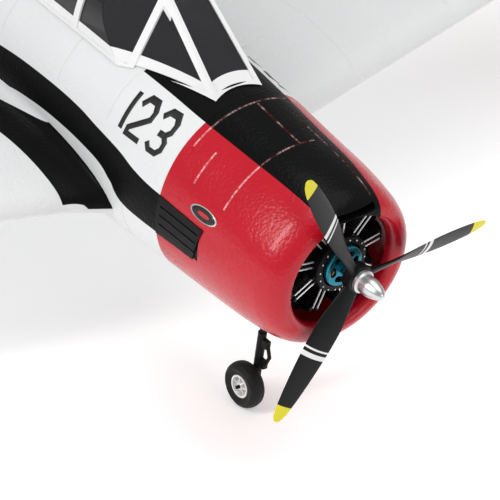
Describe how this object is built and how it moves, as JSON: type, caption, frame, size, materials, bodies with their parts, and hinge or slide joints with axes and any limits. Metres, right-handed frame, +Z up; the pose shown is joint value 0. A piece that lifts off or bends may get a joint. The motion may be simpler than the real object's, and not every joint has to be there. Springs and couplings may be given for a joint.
{
  "type": "rc foam airplane",
  "caption": "Foam radio-controlled low-wing trainer aircraft with radial-engine cowl, three-blade propeller, glazed canopy and folding tricycle gear.",
  "frame": {"origin": "middle of the footprint box, on the ground plane that the three wheels stand on", "axes": "+X towards the nose along the thrust line, +Y to port, +Z up"},
  "size_m": [1.046, 1.2696, 0.4024],
  "materials": {
    "foam_white": "satin",
    "foam_red": "gloss",
    "black_plastic": "satin",
    "blade_plastic": "satin",
    "silver_tube": "polished",
    "polished_metal": "polished",
    "steel": "satin",
    "motor_teal": "gloss",
    "lamination": "satin",
    "copper": "gloss",
    "plywood": "matte",
    "blue_wrap": "gloss",
    "strap_fabric": "matte",
    "electronics": "satin",
    "carbon": "satin",
    "moulded_nylon": "satin",
    "link_wire": "satin",
    "canopy_white": "gloss",
    "smoked_glazing": "polished",
    "cockpit_grey": "matte",
    "wheel_hub": "satin",
    "tyre_rubber": "matte"
  },
  "bodies": {
    "airframe": {"fuselage_left": "foam_white", "fuselage_right": "foam_white", "cowl": "foam_red", "exhaust_panels": "black_plastic", "dummy_engine": "black_plastic", "crankcase_ring": "black_plastic", "pushrod_tubes": "silver_tube", "motor_mount": "plywood", "motor_stator": "lamination", "motor_windings": "copper", "speed_controller": "blue_wrap", "receiver": "electronics", "battery": "blue_wrap", "battery_tray": "plywood", "battery_strap": "strap_fabric", "wing_left": "foam_white", "wing_right": "foam_white", "wing_spars": "carbon", "spar_joiner": "moulded_nylon", "wing_screws": "steel", "servos": "electronics", "tailplane": "foam_white", "nose_retract_unit": "black_plastic", "main_retract_units": "black_plastic"},
    "canopy": {"canopy_frame": "canopy_white", "canopy_glass": "smoked_glazing", "cockpit_tub": "cockpit_grey"},
    "propeller": {"propeller": "blade_plastic", "spinner_nut": "polished_metal", "motor_bell": "motor_teal", "prop_shaft": "steel"},
    "aileron_left": {"aileron_left": "foam_white"},
    "aileron_right": {"aileron_right": "foam_white"},
    "flap_left": {"flap_left": "foam_white"},
    "flap_right": {"flap_right": "foam_white"},
    "elevator": {"elevator": "foam_white", "elevator_joiner": "steel"},
    "rudder": {"rudder": "foam_white"},
    "nose_trunnion": {"nose_trunnion": "black_plastic"},
    "nose_leg": {"nose_leg": "black_plastic"},
    "nose_wheel": {"nose_hub": "wheel_hub", "nose_tyre": "tyre_rubber"},
    "main_leg_left": {"main_leg_left": "black_plastic"},
    "main_leg_right": {"main_leg_right": "black_plastic"},
    "main_wheel_left": {"main_hub_left": "wheel_hub", "main_tyre_left": "tyre_rubber"},
    "main_wheel_right": {"main_hub_right": "wheel_hub", "main_tyre_right": "tyre_rubber"},
    "aileron_servo_arm_left": {"aileron_servo_arm_left": "moulded_nylon"},
    "aileron_pushrod_left": {"aileron_pushrod_left": "link_wire"},
    "aileron_servo_arm_right": {"aileron_servo_arm_right": "moulded_nylon"},
    "aileron_pushrod_right": {"aileron_pushrod_right": "link_wire"},
    "flap_servo_arm_left": {"flap_servo_arm_left": "moulded_nylon"},
    "flap_pushrod_left": {"flap_pushrod_left": "link_wire"},
    "flap_servo_arm_right": {"flap_servo_arm_right": "moulded_nylon"},
    "flap_pushrod_right": {"flap_pushrod_right": "link_wire"},
    "elevator_servo_arm": {"elevator_servo_arm": "moulded_nylon"},
    "elevator_pushrod": {"elevator_pushrod": "link_wire"},
    "rudder_servo_arm": {"rudder_servo_arm": "moulded_nylon"},
    "rudder_pushrod": {"rudder_pushrod": "link_wire"}
  },
  "joints": [
    {"name": "propeller_spin", "type": "hinge", "parent": "airframe", "child": "propeller", "pos_m": [0.492, 0, 0.185], "axis": [1, 0, 0], "continuous": true},
    {"name": "canopy_lift", "type": "slide", "parent": "airframe", "child": "canopy", "axis": [0, 0, 1], "range_m": [0, 0.12]},
    {"name": "aileron_left_hinge", "type": "hinge", "parent": "airframe", "child": "aileron_left", "pos_m": [0.09758, 0.45, 0.2092], "axis": [0.1014, 0.987, 0.1243], "range_deg": [-25, 25]},
    {"name": "aileron_right_hinge", "type": "hinge", "parent": "airframe", "child": "aileron_right", "pos_m": [0.09758, -0.45, 0.2092], "axis": [0.1014, -0.987, 0.1243], "range_deg": [-25, 25]},
    {"name": "aileron_servo_left", "type": "hinge", "parent": "airframe", "child": "aileron_servo_arm_left", "pos_m": [0.13738, 0.44685, 0.20175], "axis": [0.1014, 0.987, 0.1243], "range_deg": [-25, 25]},
    {"name": "aileron_link_left", "type": "hinge", "parent": "aileron_left", "child": "aileron_pushrod_left", "pos_m": [0.09261, 0.45331, 0.18694], "axis": [0.1014, 0.987, 0.1243], "range_deg": [-25, 25]},
    {"name": "aileron_servo_right", "type": "hinge", "parent": "airframe", "child": "aileron_servo_arm_right", "pos_m": [0.13738, -0.44685, 0.20175], "axis": [0.1014, -0.987, 0.1243], "range_deg": [-25, 25]},
    {"name": "aileron_link_right", "type": "hinge", "parent": "aileron_right", "child": "aileron_pushrod_right", "pos_m": [0.09261, -0.45331, 0.18694], "axis": [0.1014, -0.987, 0.1243], "range_deg": [-25, 25]},
    {"name": "flap_left_hinge", "type": "hinge", "parent": "airframe", "child": "flap_left", "pos_m": [0.08114, 0.29, 0.17089], "axis": [-0.1011, -0.9842, -0.1455], "range_deg": [0, 40]},
    {"name": "flap_right_hinge", "type": "hinge", "parent": "airframe", "child": "flap_right", "pos_m": [0.08114, -0.29, 0.17089], "axis": [0.1011, -0.9842, 0.1455], "range_deg": [0, 40]},
    {"name": "flap_servo_left", "type": "hinge", "parent": "airframe", "child": "flap_servo_arm_left", "pos_m": [0.12491, 0.28516, 0.1732], "axis": [-0.1011, -0.9842, -0.1455], "range_deg": [0, 40]},
    {"name": "flap_link_left", "type": "hinge", "parent": "flap_left", "child": "flap_pushrod_left", "pos_m": [0.07716, 0.29223, 0.15858], "axis": [-0.1011, -0.9842, -0.1455], "range_deg": [-40, 0]},
    {"name": "flap_servo_right", "type": "hinge", "parent": "airframe", "child": "flap_servo_arm_right", "pos_m": [0.12491, -0.28516, 0.1732], "axis": [0.1011, -0.9842, 0.1455], "range_deg": [0, 40]},
    {"name": "flap_link_right", "type": "hinge", "parent": "flap_right", "child": "flap_pushrod_right", "pos_m": [0.07716, -0.29223, 0.15858], "axis": [0.1011, -0.9842, 0.1455], "range_deg": [-40, 0]},
    {"name": "elevator_hinge", "type": "hinge", "parent": "airframe", "child": "elevator", "pos_m": [-0.443, -0.028, 0.233], "axis": [0, 1, 0], "range_deg": [-25, 25]},
    {"name": "elevator_servo", "type": "hinge", "parent": "airframe", "child": "elevator_servo_arm", "pos_m": [-0.383, -0.028, 0.217], "axis": [0, 1, 0], "range_deg": [-25, 25]},
    {"name": "elevator_link", "type": "hinge", "parent": "elevator", "child": "elevator_pushrod", "pos_m": [-0.445, -0.028, 0.217], "axis": [0, 1, 0], "range_deg": [-25, 25]},
    {"name": "rudder_hinge", "type": "hinge", "parent": "airframe", "child": "rudder", "pos_m": [-0.458, 0, 0.205], "axis": [0, 0, 1], "range_deg": [-30, 30]},
    {"name": "rudder_servo", "type": "hinge", "parent": "airframe", "child": "rudder_servo_arm", "pos_m": [-0.384, 0.014, 0.205], "axis": [0, 0, 1], "range_deg": [-30, 30]},
    {"name": "rudder_link", "type": "hinge", "parent": "rudder", "child": "rudder_pushrod", "pos_m": [-0.46, 0.016, 0.205], "axis": [0, 0, 1], "range_deg": [-30, 30]},
    {"name": "nose_gear_fold", "type": "hinge", "parent": "airframe", "child": "nose_trunnion", "pos_m": [0.398, 0, 0.127], "axis": [0, 1, 0], "range_deg": [0, 90]},
    {"name": "nose_steer", "type": "hinge", "parent": "nose_trunnion", "child": "nose_leg", "pos_m": [0.398, 0, 0.127], "axis": [0, 0, 1], "range_deg": [-20, 20]},
    {"name": "nose_wheel_spin", "type": "hinge", "parent": "nose_leg", "child": "nose_wheel", "pos_m": [0.398, -0.0115, 0.02], "axis": [0, 1, 0], "continuous": true},
    {"name": "main_gear_fold_left", "type": "hinge", "parent": "airframe", "child": "main_leg_left", "pos_m": [0.122, 0.238, 0.163], "axis": [-1, 0, 0], "range_deg": [0, 82]},
    {"name": "main_wheel_spin_left", "type": "hinge", "parent": "main_leg_left", "child": "main_wheel_left", "pos_m": [0.122, 0.2265, 0.025], "axis": [0, 1, 0], "continuous": true},
    {"name": "main_gear_fold_right", "type": "hinge", "parent": "airframe", "child": "main_leg_right", "pos_m": [0.122, -0.238, 0.163], "axis": [1, 0, 0], "range_deg": [0, 82]},
    {"name": "main_wheel_spin_right", "type": "hinge", "parent": "main_leg_right", "child": "main_wheel_right", "pos_m": [0.122, -0.2265, 0.025], "axis": [0, 1, 0], "continuous": true}
  ],
  "couplings": [
    {"joint": "aileron_right_hinge", "follows": "aileron_left_hinge", "ratio": 1},
    {"joint": "aileron_servo_left", "follows": "aileron_left_hinge", "ratio": 1},
    {"joint": "aileron_link_left", "follows": "aileron_left_hinge", "ratio": -1},
    {"joint": "aileron_servo_right", "follows": "aileron_left_hinge", "ratio": 1},
    {"joint": "aileron_link_right", "follows": "aileron_left_hinge", "ratio": -1},
    {"joint": "flap_right_hinge", "follows": "flap_left_hinge", "ratio": 1},
    {"joint": "flap_servo_left", "follows": "flap_left_hinge", "ratio": 1},
    {"joint": "flap_link_left", "follows": "flap_left_hinge", "ratio": -1},
    {"joint": "flap_servo_right", "follows": "flap_left_hinge", "ratio": 1},
    {"joint": "flap_link_right", "follows": "flap_left_hinge", "ratio": -1},
    {"joint": "elevator_servo", "follows": "elevator_hinge", "ratio": 1},
    {"joint": "elevator_link", "follows": "elevator_hinge", "ratio": -1},
    {"joint": "rudder_servo", "follows": "rudder_hinge", "ratio": 1},
    {"joint": "rudder_link", "follows": "rudder_hinge", "ratio": -1},
    {"joint": "nose_steer", "follows": "rudder_hinge", "ratio": -0.6},
    {"joint": "main_gear_fold_left", "follows": "nose_gear_fold", "ratio": 0.91111},
    {"joint": "main_gear_fold_right", "follows": "nose_gear_fold", "ratio": 0.91111}
  ]
}
